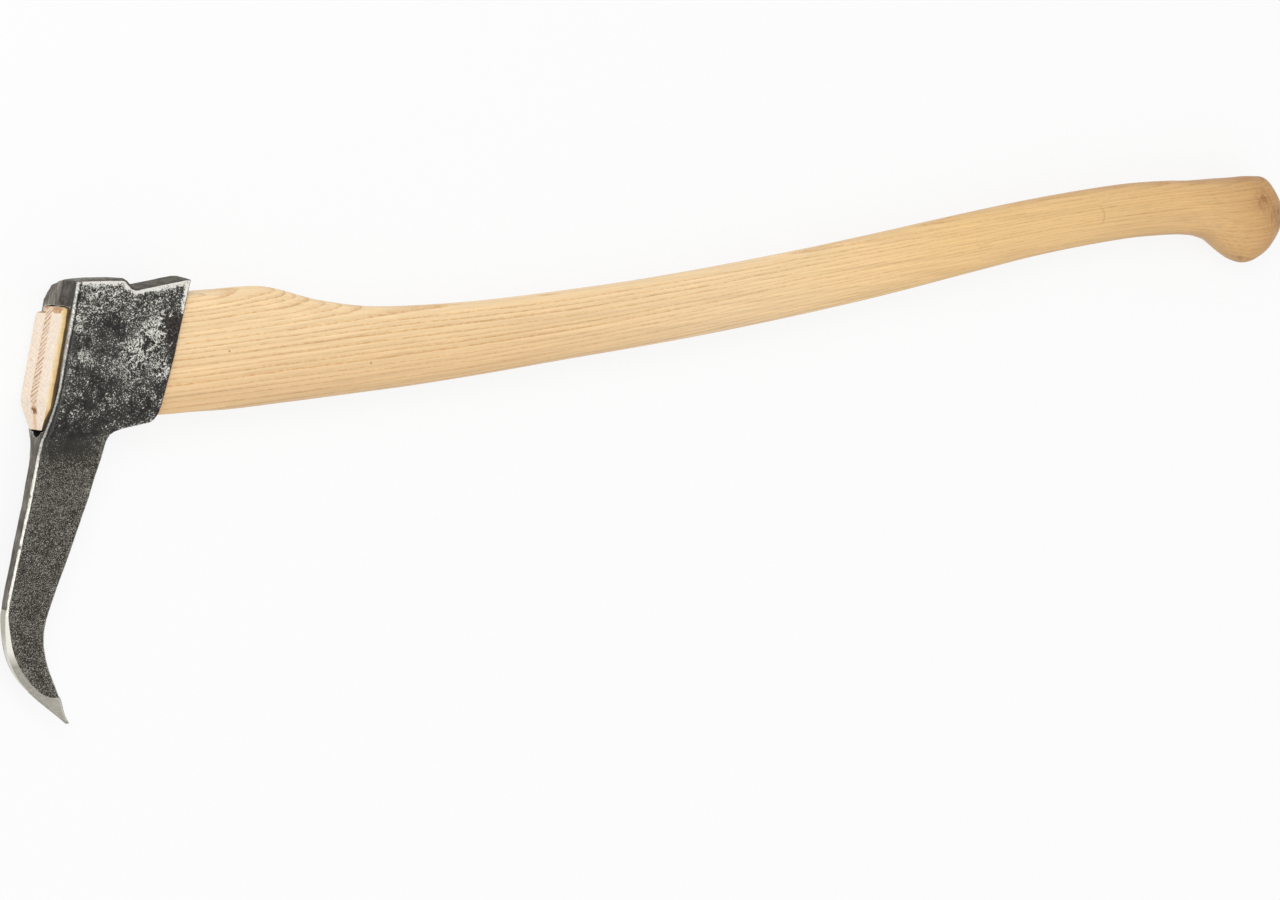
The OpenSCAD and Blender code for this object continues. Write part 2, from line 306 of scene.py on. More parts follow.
def put_out(sink, **outputs):
    """Join values to the group's outputs by name."""
    for key, value in outputs.items():
        join(value, sink.inputs[key])
    print("group outputs:", list(outputs))


def use(tree, source, **values):
    """Place a group in a material and give its outputs by name."""
    node = tree.nodes.new("ShaderNodeGroup")
    node.node_tree = source
    for key, value in values.items():
        join(value, node.inputs[key])
    return node.outputs


FLECK, BREAK, CLOUD = 430.0, 900.0, 110.0      # the three noises, in waves a metre
flecks, given, sink = group("forge_scale", {"size": 1.0, "cover": 0.25, "patchy": 0.5},
                            ["fleck", "cloud", "height"])
spot = position(flecks)
pace = maths("DIVIDE", 1.0, given["size"])
shape = speckle(spot, times(pace, FLECK), Detail=2.0, Roughness=0.6, Distortion=1.2)
breaks = speckle(spot, times(pace, BREAK), Detail=1.0, Roughness=0.5)
breaks = times(minus(breaks, 0.5), 0.30)
cloud = ramp(speckle(spot, CLOUD, Detail=4.0, Roughness=0.7, Distortion=0.8),
             (0.36, 0.0), (0.64, 1.0))
width = times(minus(cloud, 0.5), given["patchy"])
width = times(plus(width, given["cover"]), 0.11)
level = minus(plus(width, breaks), away(shape, 0.5))
level = maths("MULTIPLY", plus(level, 0.004), 32.0, clamp=True)
put_out(sink, fleck=level, cloud=cloud, height=plus(times(level, 0.8), shape))

# %% [markdown]
# ## Growth rings
#
# A handle is sawn from a log, so its rings are shells round a pith that lies outside it. With
# the pith far below the handle, the cheeks show long lines along the bore, the back edge shows
# arches, and the end of the tongue shows the same rings as slanting bars: one solid pattern
# gives all of these. Each ring has a dark line of spring pores that fades into pale summer wood.

# %% The group of growth rings
BEND_SPAN, NARROW_SPAN = (0.24, 0.86), (0.08, 0.90)   # along the handle, in metres
SLOW, QUICK = (2.6, 9.0, 9.0), (38.0, 190.0, 190.0)   # the two sways of a ring
STROKE, DASH, STRAND = (260.0, 620.0, 620.0), (70.0, 1900.0, 1900.0), (9.0, 520.0, 520.0)
rings, given, sink = group(
    "growth_rings", {"spacing": 3.9, "pith_below": 0.25, "pith_aside": 0.08, "bend": 0.031,
                     "narrow": 2.1, "flare": 4.2, "wander": 4.0}, ["line", "pore", "fibre"])
spot = position(rings)
x, y, z = axes(spot)
follow = add(rings, "MapRange", x, *BEND_SPAN, 0.0, given["bend"],
             interpolation_type="SMOOTHSTEP")
closer = add(rings, "MapRange", x, *NARROW_SPAN, 1.0, given["narrow"],
             interpolation_type="SMOOTHSTEP")
height = plus(minus(y, follow), given["pith_below"])
aside = plus(z, given["pith_aside"])
radius = maths("SQRT", plus(times(height, height), times(aside, aside)))
sway = minus(speckle(spot, SLOW, Detail=2.0), 0.5)
sway = times(sway, times(given["wander"], MM))
shake = minus(speckle(spot, QUICK, Detail=2.0), 0.5)
radius = plus(plus(radius, sway), times(shake, 0.9 * MM))
radius = times(minus(radius, given["pith_below"]), closer)
radius = plus(radius, times(times(radius, radius), given["flare"]))
print("nodes so far:", len(rings.nodes))

# %% From the radius to lines, pores and fibres
count = maths("DIVIDE", radius, times(given["spacing"], MM))
uneven = maths("SINE", times(count, 1.7))
count = plus(count, times(uneven, 0.14))
tone = add(rings, "TexWhiteNoise", W=maths("FLOOR", count), noise_dimensions="1D")
line = ramp(maths("FRACT", count),
            (0.0, 1.0), (0.12, 0.60), (0.32, 0.22), (0.62, 0.05), (0.91, 0.0), (1.0, 1.0))
line = times(line, plus(times(tone, 0.50), 0.50))
strokes = speckle(spot, STROKE, Detail=2.0, Roughness=0.7)
line = times(line, fade(strokes, 0.36, 0.64, 0.45, 1.3))
pores = ramp(speckle(spot, DASH, Detail=1.0), (0.56, 0.0), (0.70, 1.0))
pores = times(pores, plus(times(line, 0.8), 0.2))
put_out(sink, line=line, pore=pores, fibre=speckle(spot, STRAND, Detail=3.0))

# %% [markdown]
# ## The steel finishes
#
# A forged head has four finishes. The cheeks keep the forge's skin. The front was dressed on a
# belt, which leaves fine streaks along it. The point was ground on a wheel, and the eye is dark
# inside. All four are bare iron and oxide, so they are metallic, and only the colour, the
# roughness and the streaks differ. Where the wear follows the shape, as along an edge, the
# material reads a number that is stored on the head's own points.


# %% A base for every finish
def finish(name, **constants):
    """A new material, with its tree and its shader; constants go into the shader's inputs."""
    material = bpy.data.materials.new(name)
    material.use_nodes = True
    shader = material.node_tree.nodes["Principled BSDF"]
    for key, value in constants.items():
        shader.inputs[key.replace("_", " ")].default_value = value
    return material, material.node_tree, shader


def own(tree, name):
    """A number stored on the piece's own mesh."""
    node = tree.nodes.new("ShaderNodeAttribute")
    node.attribute_name = name
    return node.outputs["Fac"]


def colour(shader, shade):
    join(shade, shader.inputs["Base Color"])
    print("coloured by a graph of", len(home(shade).nodes), "nodes")


def relief(shader, height, distance, strength=1.0):
    bump = add(home(height), "Bump", strength, distance * MM, Height=height)
    join(bump, shader.inputs["Normal"])


# %% The cheeks: skin, and flecks of bare metal
forged, tree, shader = finish("forged_steel", Metallic=0.8, Specular_IOR_Level=0.25)
spot = position(tree)
_, y, z = axes(spot)
beak, gap = own(tree, "beak"), own(tree, "arris_gap")
collar = minus(1.0, beak)
scale = use(tree, flecks, size=1.0, cover=own(tree, "bare"), patchy=0.62)
grain = use(tree, flecks, size=0.58, cover=own(tree, "bare"), patchy=0.3)
skin = mix(scale["cloud"], linear(46, 45, 43), linear(80, 79, 75))
# painted shade: the skin gets darker low on the cheek, where it turns towards the beak
skin = mix(fade(y, -2 * MM, -24 * MM, 0.0, 0.35), skin, linear(30, 29, 27))
skin = mix(beak, skin, linear(56, 54, 49))
metal = mix(scale["cloud"], linear(160, 159, 150), linear(220, 219, 210))
metal = mix(beak, metal, linear(158, 154, 143))
fleck = mix(beak, scale["fleck"], grain["fleck"])
shade = mix(fleck, skin, metal)
print("nodes so far:", len(tree.nodes))

# %% The cheeks: scars, and the bright rim of bare edges and painted highlight, both with a broken edge
grit = speckle(spot, 800.0, Detail=2.0, Roughness=0.7)
ragged = speckle(spot, 230.0, Detail=3.0, Roughness=0.65)
scar = away(speckle(spot, 115.0, Detail=3.0, Roughness=0.65, Distortion=1.8), 0.5)
scar = minus(times(own(tree, "scar"), 0.07), scar)
scar = times(fade(scar, 0.0, 0.012), fade(grit, 0.40, 0.48))
shade = mix(times(scar, 0.9), shade, linear(228, 227, 218))
# the rim is partly bare metal and partly a painted highlight along the lit upper edges
rim = plus(own(tree, "rim"), times(grit, 2.0))
rim = fade(plus(rim, times(ragged, 1.6)), 2.26, 2.60)
shade = mix(times(rim, 0.9), shade, mix(beak, linear(234, 232, 224), linear(158, 155, 146)))
print("nodes so far:", len(tree.nodes))

# %% The cheeks: dark crust at the rear, painted shade on top and beside the handle, and the smeared crest
crust_and_shade = mix(fade(grit, 0.44, 0.62), linear(39, 37, 35), linear(79, 73, 69))
crust_and_shade = mix(times(own(tree, "top"), fade(ragged, 0.38, 0.60)), crust_and_shade, linear(104, 97, 83))
dark = plus(own(tree, "dark"), times(minus(ragged, 0.5), 3.0))
dark = plus(dark, times(minus(grit, 0.5), 0.6))
shade = mix(fade(dark, 0.40, 0.54), shade, crust_and_shade)
smeared = mix(fade(ragged, 0.36, 0.62), linear(78, 75, 69), linear(134, 130, 120))
smeared = mix(times(scale["fleck"], 0.5), smeared, linear(168, 165, 155))
crest = times(own(tree, "crest"), fade(z, 36.6 * MM, 35.4 * MM))
shade = mix(crest, shade, smeared)
print("nodes so far:", len(tree.nodes))

# %% [markdown]
# ## The front arris: rubbed bright, and a painted highlight
#
# The arris between the near cheek and the front is the brightest line on the tool: every log rubs
# it bright, and its narrow chamfer catches the light, which is painted in as a highlight. Beside
# it the belt left a dark groove, and then a plain band. All three follow the arris, so they read
# its distance from the stored number. The pits and nicks are too small to model: each is a dark
# spot, or a gap in the bright line, at a place of its own.

# %% The cheeks: the arris, the groove beside it, pits and nicks
NICKS = [(-66.0, -77.9), (-75.7, -108.9)]             # x and y in millimetres
PITS = [(-72.0, -103.1, 0.9), (-15.6, -57.9, 1.2), (-17.4, -61.2, 0.9), (-20.6, -71.6, 1.3),
        (-19.2, -68.6, 0.8), (-33.5, -101.0, 1.0)]    # x, y and radius in millimetres
beside = times(fade(gap, 2.8, 4.2, 0.7, 0.0), collar)
shade = mix(times(beside, own(tree, "plain")), shade, linear(84, 83, 79))
groove = fade(away(gap, 1.35), 0.25, 0.6, 0.85, 0.0)
shade = mix(times(groove, collar), shade, linear(38, 37, 35))
wear_and_highlight = maths("MAXIMUM", own(tree, "arris"),
             times(fade(gap, 0.30, 0.7, 1.0, 0.0), own(tree, "lip")))
wear_and_highlight = times(wear_and_highlight, maths("MAXIMUM", times(beak, 0.9), fade(grit, 0.40, 0.54, 0.45, 1.0)))
flat = add(tree, "Mapping", spot, Scale=(1.0, 1.0, 0.0))
for *centre, size in PITS:
    hole = distance_to(flat, (*centre, 0))
    hole = fade(hole, 0.6 * size * MM, size * MM, 0.85, 0.0)
    shade = mix(hole, shade, linear(26, 25, 23))
for centre in NICKS:
    nick = distance_to(flat, (*centre, 0))
    wear_and_highlight = times(wear_and_highlight, fade(nick, 0.8 * MM, 1.7 * MM, 0.1, 1.0))
# the arris line: bright from wear, and a painted highlight where its chamfer catches the light
shade = mix(wear_and_highlight, shade, mix(beak, linear(214, 213, 206), linear(238, 235, 225)))
colour(shader, shade)
rough = mix(fleck, grey(0.60), grey(0.40))
join(mix(wear_and_highlight, rough, grey(0.28)), shader.inputs["Roughness"])
relief(shader, scale["height"], 0.22)

# %% [markdown]
# ## The other steel
#
# The dressed front shows streaks from one side to the other, stained by water, with a pitted
# skin left on the near half of the top and dirt beside the eye. The point's streaks run
# crosswise, and its bend catches the light. The eye's wall is barely seen, so it takes the
# shared scale with larger flecks.

# %% The dressed front
dressed, tree, shader = finish("dressed_front", Metallic=0.8, Specular_IOR_Level=0.25,
                               Roughness=0.46)
spot = position(tree)
_, y, z = axes(spot)
streak = speckle(spot, (60.0, 60.0, 1300.0), Detail=3.0, Roughness=0.6)
stain = speckle(spot, 90.0, Detail=4.0)
shade = mix(ramp(streak, (0.36, 0.0), (0.62, 1.0)), linear(92, 88, 80), linear(178, 172, 160))
shade = mix(ramp(stain, (0.45, 0.0), (0.62, 0.75)), shade, linear(92, 84, 76))
pitted = speckle(spot, 240.0, Detail=3.0, Roughness=0.7)
pitted = mix(fade(pitted, 0.42, 0.60), linear(42, 38, 34), linear(96, 90, 82))
near_half = times(fade(z, 20.4 * MM, 21.4 * MM), fade(y, 28 * MM, 37 * MM))
shade = mix(times(near_half, 0.9), shade, pitted)
skin = mix(fade(stain, 0.40, 0.60), linear(100, 96, 90), linear(62, 57, 51))
skinned = plus(fade(y, -44 * MM, -60 * MM, 0.0, 0.5), fade(y, 36 * MM, 42 * MM, 0.0, 0.2))
shade = mix(skinned, shade, skin)
lip = times(fade(y, -58 * MM, -46 * MM), fade(y, 0.0, -14 * MM))
lip = times(fade(z, 23 * MM, 26 * MM, 0.0, 0.85), lip)
colour(shader, mix(lip, shade, linear(52, 47, 42)))
relief(shader, streak, 0.05)

# %% The ground point and the inside of the eye
ground, tree, shader = finish("ground_steel", Metallic=0.9, Roughness=0.34)
spot = position(tree)
y = axes(spot)[1]
turned = add(tree, "Mapping", spot, Scale=(70.0, 1500.0, 900.0),
             Rotation=(0, 0, math.radians(-35)))
streak = speckle(turned, 1.0, Detail=3.0, Roughness=0.6)
shade = mix(ramp(streak, (0.30, 0.0), (0.70, 1.0)), linear(150, 146, 136), linear(180, 176, 166))
# painted highlight where the bend catches the light
bend = times(fade(y, -184 * MM, -174 * MM), 0.9)
shade = mix(bend, shade, linear(238, 236, 226))
# painted reflection: the outer facet is lighter towards the tip
facet = mix(fade(y, -162 * MM, -176 * MM), linear(182, 178, 166), linear(222, 219, 209))
colour(shader, mix(own(tree, "arris"), shade, facet))
relief(shader, streak, 0.03)

bore, tree, shader = finish("eye_wall", Metallic=0.5, Roughness=0.7)
scale = use(tree, flecks, size=1.6, cover=0.1, patchy=0.3)
colour(shader, mix(scale["fleck"], linear(40, 38, 36), linear(78, 72, 64)))
relief(shader, scale["height"], 0.25)

# %% [markdown]
# ## The forged head
#
# The head starts as a bar that is punched for the eye and drawn out under the hammer. Its shape
# is already in the CAD solid, so a copy of that mesh is the right start: its loose triangles are
# merged, and flat areas lose the lines between them. Forged steel has no razor edges, and its
# faces are never quite flat. Planes cut through the copy give it an even net of points, which
# are then smoothed a little at the edges and pushed in by a slow noise, never out.


# %% Helpers for a piece
def merged_copy(node):
    """A bmesh of a CAD solid, with its loose triangles joined."""
    bm = bmesh.new()
    bm.from_mesh(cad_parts[node].data)
    bmesh.ops.remove_doubles(bm, verts=bm.verts, dist=0.02 * MM)
    bmesh.ops.dissolve_degenerate(bm, edges=bm.edges, dist=0.02 * MM)
    bmesh.ops.dissolve_limit(bm, angle_limit=math.radians(0.3), verts=bm.verts, edges=bm.edges)
    print(node, "copy:", len(bm.verts), "points,", len(bm.faces), "faces")
    return bm


def make_piece(name, bm, materials, body, node):
    """Turn a bmesh into a piece that stands for a CAD node."""
    mesh = bpy.data.meshes.new(name)
    bm.to_mesh(mesh)
    bm.free()
    piece = bpy.data.objects.new(name, mesh)
    bpy.context.scene.collection.objects.link(piece)
    for material in materials:
        mesh.materials.append(material)
    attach(piece, body)
    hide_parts(node)
    print(name + ":", len(mesh.vertices), "points,", len(mesh.polygons), "faces")
    return piece


def store(mesh, rows):
    """Keep numbers on a mesh's points: one dict of names and numbers for each point."""
    for name in rows[0]:
        layer = mesh.attributes.new(name, "FLOAT", "POINT")
        layer.data.foreach_set("value", [row[name] for row in rows])
    print("stored on", mesh.name + ":", list(rows[0]))


def smooth(mesh, degrees):
    """Shade a mesh smooth, apart from the edges that turn by more than an angle."""
    mesh.polygons.foreach_set("use_smooth", [True] * len(mesh.polygons))
    mesh.set_sharp_from_angle(angle=math.radians(degrees))


# %% The surfaces of the head, told apart before it is cut up
CHEEK, FRONT, GROUND, BORE = range(4)
EYE_LOW, EYE_HIGH = -43.2, 39     # heights between which a face towards the bore is the eye's
GRINDING, POINT = -147, -207      # heights below which the front, and then all, is ground
NECK_FRONT, NECK_REAR = -42, -46  # heights below which the front and rear arrises are brighter
head = merged_copy("steel_head")
arris = head.faces.layers.float.new("arris")


def side_of(face):
    """Which surface of the head a face is on, and how bright its arris is; the outer facet
    of the ground point is marked in the same way."""
    y, z = face.calc_center_median().yz / MM
    nx, ny, nz = face.normal
    inward = y * ny + (z - MID) * nz < -1
    if inward and abs(nx) < 0.5 and abs(z - MID) < 17 and EYE_LOW < y < EYE_HIGH:
        return BORE, 0.0
    if y < POINT or (y < GRINDING and nx < -0.05 and abs(nz) < 0.985):
        return GROUND, 1.0 if nx < -0.75 and abs(nz) < 0.3 else 0.0
    if nx < -0.9:
        return FRONT, 0.0
    # an arris's brightness paints both its wear and the highlight on its chamfer
    slanting = 0.3 < abs(nz) < 0.9
    if nx < -0.3 and slanting and ny < 0.6:
        return CHEEK, 1.0 if y < NECK_FRONT else 0.72
    if nx > 0.3 and slanting:
        return CHEEK, 0.35 if y < NECK_REAR else 0.0
    return CHEEK, 0.0


for face in head.faces:
    face.material_index, face[arris] = side_of(face)
print("faces by surface:", [sum(f.material_index == k for f in head.faces) for k in range(4)])


# %% Broken edges: the top's rear, the eye's mouth and the cheeks' upper edges
def edges_between(bm, first, second):
    """The edges that part two kinds of face, each kind given by a test."""
    pairs = [(e, *e.link_faces) for e in bm.edges if len(e.link_faces) == 2]
    return [e for e, a, b in pairs if (first(a) and second(b)) or (first(b) and second(a))]


def break_edges(bm, edges, offset, segments, brightness):
    """Bevel some edges and call the new faces a part of the cheek, as bright as is said."""
    new = bmesh.ops.bevel(bm, geom=edges, affect="EDGES", offset=offset * MM, segments=segments,
                          profile=0.5, material=-1, clamp_overlap=True)["faces"]
    for face in new:
        face.material_index, face[arris] = CHEEK, brightness
    print("broke", len(edges), "edges into", len(new), "faces")


def flat_cheek(face):
    return abs(face.normal.z) > 0.97 and face.calc_center_median().y > -40 * MM


# the brightness given to the new faces paints wear and a highlight along these edges
break_edges(head, edges_between(
    head, lambda f: f.normal.y > 0.8 and f.calc_center_median().y > 35 * MM,
    lambda f: f.normal.x > 0.25 and f.normal.y < 0.1), offset=2.0, segments=3, brightness=0.0)
break_edges(head, edges_between(
    head, lambda f: f.material_index == FRONT, lambda f: f.material_index == BORE),
    offset=0.6, segments=2, brightness=0.7)
break_edges(head, edges_between(head, flat_cheek, lambda f: f.normal.y > 0.3),
            offset=1.3, segments=3, brightness=0.6)


# %% Sharp edges, kept as points for the wear
def point_tree(edges, spacing):
    """A search tree of points along edges, to tell how far a place is from them."""
    points = []
    for edge in edges:
        a, b = (v.co for v in edge.verts)
        steps = max(1, int((b - a).length / (spacing * MM)))
        points += [a.lerp(b, i / steps) for i in range(steps + 1)]
    tree = kdtree.KDTree(len(points))
    for i, p in enumerate(points):
        tree.insert(p, i)
    tree.balance()
    print("points on", len(edges), "edges:", len(points))
    return tree


near_edge = point_tree([e for e in head.edges if len(e.link_faces) == 2 and
                        e.calc_face_angle(0) > math.radians(20)], 1.0)
near_arris = point_tree(edges_between(
    head, lambda f: f[arris] > 0.7,
    lambda f: f[arris] == 0.0 and f.material_index == CHEEK), 0.5)


# %% Planes through the head give it an even net
def net(bm, axis, start, stop, spacing):
    normal = Vector([float(k == axis) for k in range(3)])
    for i in range(int((stop - start) / spacing) + 1):
        bmesh.ops.bisect_plane(bm, geom=bm.verts[:] + bm.edges[:] + bm.faces[:], dist=0.01 * MM,
                               plane_co=normal * (start + i * spacing) * MM, plane_no=normal)


bmesh.ops.triangulate(head, faces=[f for f in head.faces if len(f.verts) > 4])
net(head, 0, -88.6, 60.0, 2.0)
net(head, 1, -222.0, 52.0, 2.0)
net(head, 2, 2.2, 38.0, 2.55)
bmesh.ops.triangulate(head, faces=head.faces)
print("net:", len(head.verts), "points")

# %% Edges give way a little, and the hammer leaves its mark
SOFT_REACH = 2.2                  # how far from a sharp edge the smoothing goes
WIDE, SMALL, DENT = 16, 6, 0.16   # width of two kinds of dent, and their usual depth
keep = {v for v in head.verts if v.co.y < -150 * MM and
        any(f.material_index == GROUND for f in v.link_faces)}
soft = [v for v in head.verts
        if v not in keep and near_edge.find(v.co)[2] < SOFT_REACH * MM]
for _ in range(2):
    bmesh.ops.smooth_vert(head, verts=soft, factor=0.35, use_axis_x=True, use_axis_y=True,
                          use_axis_z=True)
head.normal_update()
for v in head.verts:
    if v not in keep:
        n = noise.noise(v.co / (WIDE * MM))
        n += 0.5 * noise.noise(v.co / (SMALL * MM) + Vector((7, 3, 1)))
        v.co -= v.normal * (DENT + DENT * n) * MM
head.normal_update()
print("softened", len(soft), "points, kept the ground point's", len(keep))

# %% [markdown]
# ## Where the wear goes
#
# Scale wears off first along edges and where hands touch the cheek, and rust starts where the
# collar meets the damp wood. The same numbers carry painted light too: a highlight along the
# upper edges, and painted shade on the top, beside the handle and low on the cheek. Such places
# follow the shape and could be painted by hand. A rule for each point of the mesh is easier to
# change: it looks at the point's place and its distance from the edges, and stores a few numbers
# that the material reads.

# %% The numbers that the finish reads, stored on the head's own points
# patches of bare metal on the near cheek: x, y, radius in millimetres, and strength
PATCHES = [(20, 12, 9, 0.20), (31, 22, 8, 0.20), (9, 6, 8, 0.10), (-33, 27, 6, 0.14),
           (-15, 47, 7, 0.12), (28, -7, 8, 0.14), (4, -4, 12, 0.06), (-26, 8, 6, 0.08)]


def blob(x, y, a, b, r):
    """1 at a centre (a, b), and less with the distance from it."""
    return math.exp(-((x - a) ** 2 + (y - b) ** 2) / r ** 2)


def step(value, low, high):
    """0 below low, 1 above high, and a straight line between."""
    return max(0.0, min(1.0, (value - low) / (high - low)))


def wear_at(point, normal):
    """The numbers to store at a point of the head, by name."""
    x, y, _ = point / MM
    edge = near_edge.find(point)[2] / MM
    gap = near_arris.find(point)[2] / MM * (1 - 0.25 * step(y, 5, 30))
    gap *= 1 - 0.2 * step(-y, 45, 60)
    top = step(normal.y, 0.5, 0.8) * step(y, 38, 42)
    beak = 1 - step(y, -58, -40)
    patch = sum(s * blob(x, y, a, b, r) for a, b, r, s in PATCHES)
    # bare metal: at the edges, on the upper cheek, in the patches and on the beak; less of it low
    # on the cheek, as painted shade where the cheek turns towards the beak
    bare = 0.02 + 0.12 * max(0.0, 1 - edge / 6) + 0.09 * step(y, -32, 4) + patch
    bare += 0.13 * step(y, 12, 30) - 0.09 * (1 - step(y, -36, -10)) * (1 - beak)
    bare -= 0.12 * blob(x, y, -12, 17, 12) + 0.10 * blob(x, y, 24, -17, 6)
    bare += beak * (0.28 - 0.05 * step(-y, 80, 120)) - 0.50 * blob(0.6 * x, y, -21, -51, 10)
    # dark: a band of crust along the rear of the cheek; crust and painted shade on the top; and a
    # painted shadow on what faces the handle
    across = abs(x - 36.0 - 0.12 * y) / (3.4 + 0.20 * max(y, -8))
    dark = step(1 - across, -0.9, 0.9) * step(y, -12, 2) * (1 - step(y, 23, 31))
    dark *= 0.80 + 0.2 * step(y, 6, 18)
    dark = max(dark, top, step(normal.x, 0.2, 0.5) * step(y, -42, -38))
    # bright rim: bare metal rubbed clean at the edges, and a painted highlight on the upper
    # edges; widest along the top and the upper rear, none where the front arris is
    rim = max(0.0, 1 - edge / (4.8 - 2.2 * beak)) * (1 - top) * step(gap, 1.5, 2.1) * (
        0.42 + 0.90 * max(step(y, 30, 42), step(x, 25, 40) * step(y, 20, 26)))
    return dict(bare=bare * (1 - 0.85 * dark), dark=dark, beak=beak, rim=rim * (1 - 0.6 * dark),
                scar=5 * patch, arris_gap=min(gap, 9.0), lip=max(beak, 0.75 * step(y, 5, 25)),
                crest=0.9 * top * step(-x, -8, -4), plain=1 - step(y, 22, 32), top=top)


head_piece = make_piece("forged_head", head, [forged, dressed, ground, bore], "root",
                        "steel_head")
store(head_piece.data, [wear_at(v.co, v.normal) for v in head_piece.data.vertices])
smooth(head_piece.data, 50)

# %% [markdown]
# ## The ash finishes
#
# Ash is pale and straight-grained, under a thin coat of oil or varnish. The knob is browner,
# because hands and end grain take up dirt and oil. The rings come from the shared group, and
# the end of the tongue shows the same rings on fresh, unvarnished wood. A tint multiplies the
# wood by a colour, so the rings stay visible through it.


# %% Wood of any kind
def wood(name, pale, dark, roughness, strength=1.0, softer=0.0, **ring_values):
    """Rings on pale wood; softer says how much weaker they are at the knob than at the head."""
    material, tree, shader = finish(name, Roughness=roughness)
    ring = use(tree, rings, **ring_values)
    if softer:
        along = axes(position(tree))[0]
        strength = fade(along, 0.30, 0.70, strength, strength * (1 - softer))
    shade = mix(times(ring["line"], strength), pale, dark)
    pore_dark = tuple(c * 0.62 for c in dark[:3]) + (1,)
    shade = mix(times(ring["pore"], 0.5), shade, pore_dark)
    shade = mix(1.0, shade, fade(ring["fibre"], 0.25, 0.75, 0.87, 1.09), kind="MULTIPLY")
    sunk = plus(times(ring["line"], -0.5), times(ring["pore"], -0.5))
    relief(shader, sunk, 0.10, 0.6)
    return material, tree, shader, shade


# %% The handle's wood, from the belly to the knob
PALE = linear(244, 213, 166)      # clear ash, from which each tint starts
ash, tree, shader, shade = wood("ash", PALE, linear(212, 163, 106), 0.42, softer=0.45)
shader.inputs["Specular IOR Level"].default_value = 0.35
spot = position(tree)
x, y, _ = axes(spot)
# painted shade: darker and more orange towards the lower edge near the head, where the handle
# turns away from the light
low = times(fade(y, 8 * MM, -32 * MM), fade(x, 0.30, 0.48, 0.42, 0.15))
shade = tint(low, shade, PALE, linear(220, 171, 110))
honey = times(fade(x, 0.47, 0.66), 0.5)
shade = tint(honey, shade, PALE, linear(240, 193, 116))
blotch = speckle(spot, (6.0, 22.0, 22.0), Detail=2.0)
brown = ramp(fade(x, 0.60, 0.95), (0.0, 0.0), (0.5, 0.16), (0.8, 0.42), (0.95, 0.85))
brown = times(brown, fade(blotch, 0.3, 0.7, 0.75, 1.1))
# the grip's upper and lower edges: painted shade where the oval turns away, with hand dirt
brown = maths("ADD", brown, own(tree, "edge_shade_and_dirt"), clamp=True)
shade = tint(brown, shade, PALE, linear(186, 140, 88))
print("nodes so far:", len(tree.nodes))

# %% The handle's wood: the bare side of the tongue, a painted shadow at the eye's mouth, end grain and small marks
# marks on the near side: x, y, z, radius in millimetres, and strength
MARKS = [(79.6, -2.3, 36.3, 1.1, 0.7), (185, -22.3, 34.9, 1.1, 0.7),
         (902.2, -32.4, 28.4, 3.4, 0.4)]
CURL_AT, CURL_RADIUS = (776.0, 10.0, 0), 7.0     # a small curl in the grain of the grip
LEAN = 0.294                      # how far the tongue's end leans back for its height
mouth = minus(x, times(y, LEAN))  # a place along the bore that leans with the tongue's end
bruise = speckle(spot, (300.0, 90.0, 90.0), Detail=3.0, Roughness=0.6)
oiled = fade(plus(times(mouth, 150.0), bruise), -7.0, -6.5)
fresh = times(fade(x, 10 * MM, -20 * MM), 0.8)
shade = mix(fresh, shade, mix(oiled, linear(246, 228, 192), linear(222, 186, 122)))
# painted shadow: a dark line where the tongue goes into the eye
mouth_shadow = plus(mouth, times(bruise, 1.6 * MM))
mouth_shadow = times(fade(mouth_shadow, -45.3 * MM, -44.9 * MM), fade(x, 10 * MM, -5 * MM))
shade = mix(times(mouth_shadow, 0.9), shade, linear(52, 42, 32))
streak = speckle(spot, (620.0, 190.0, 300.0), Detail=2.0)
streak = times(own(tree, "end_grain"), fade(streak, 0.42, 0.58, 0.45, 1.2))
shade = mix(streak, shade, linear(150, 103, 62))
for *centre, size, share in MARKS:
    mark = distance_to(spot, centre)
    mark = fade(mark, 0.3 * size * MM, size * MM, share, 0.0)
    shade = mix(mark, shade, linear(132, 88, 46))
curl = distance_to(add(tree, "Mapping", spot, Scale=(1.0, 1.0, 0.0)), CURL_AT)
curl = fade(away(curl, CURL_RADIUS * MM), 0.2 * MM, 1.5 * MM, 0.32, 0.0)
curl = times(curl, fade(x, (CURL_AT[0] + 3) * MM, (CURL_AT[0] + 7) * MM))
colour(shader, mix(curl, shade, linear(176, 124, 70)))

# %% [markdown]
# ## Cut and torn wood
#
# The tongue was sawn off in front of the head. Its end is pale, with the rings as slanting bars,
# a split from the kerf down to a burst knot of fibres, and a torn brown top. The wedge is harder
# and darker wood of another log, so its rings have a pith of their own.

# %% The tongue's end, torn fibres and the wedge
cut_end, tree, shader, shade = wood(
    "tongue_end", linear(250, 234, 215), linear(236, 206, 178), 0.75, 0.7, spacing=2.4)
spot = position(tree)
_, y, z = axes(spot)
ragged = speckle(spot, 420.0, Detail=3.0)
high = plus(y, times(ragged, 3.6 * MM))
high = plus(high, fade(z, 22 * MM, 26 * MM, 0.0, 1.7 * MM))
shade = mix(fade(high, 38.2 * MM, 38.9 * MM, 0.0, 0.9), shade,
            mix(fade(ragged, 0.42, 0.58), linear(150, 104, 66), linear(214, 164, 112)))
middle = away(plus(z, times(ragged, 1.2 * MM)), 20.6 * MM)
slit = times(fade(middle, 1.2 * MM, 2.8 * MM, 0.75, 0.0), fade(y, -19 * MM, -20 * MM))
shade = mix(slit, shade, linear(232, 184, 132))
burst = fade(away(y, -25.0 * MM), 1.2 * MM, 3.2 * MM, 1.0, 0.0)
burst = times(burst, fade(middle, 2.4 * MM, 4.6 * MM, 1.0, 0.0))
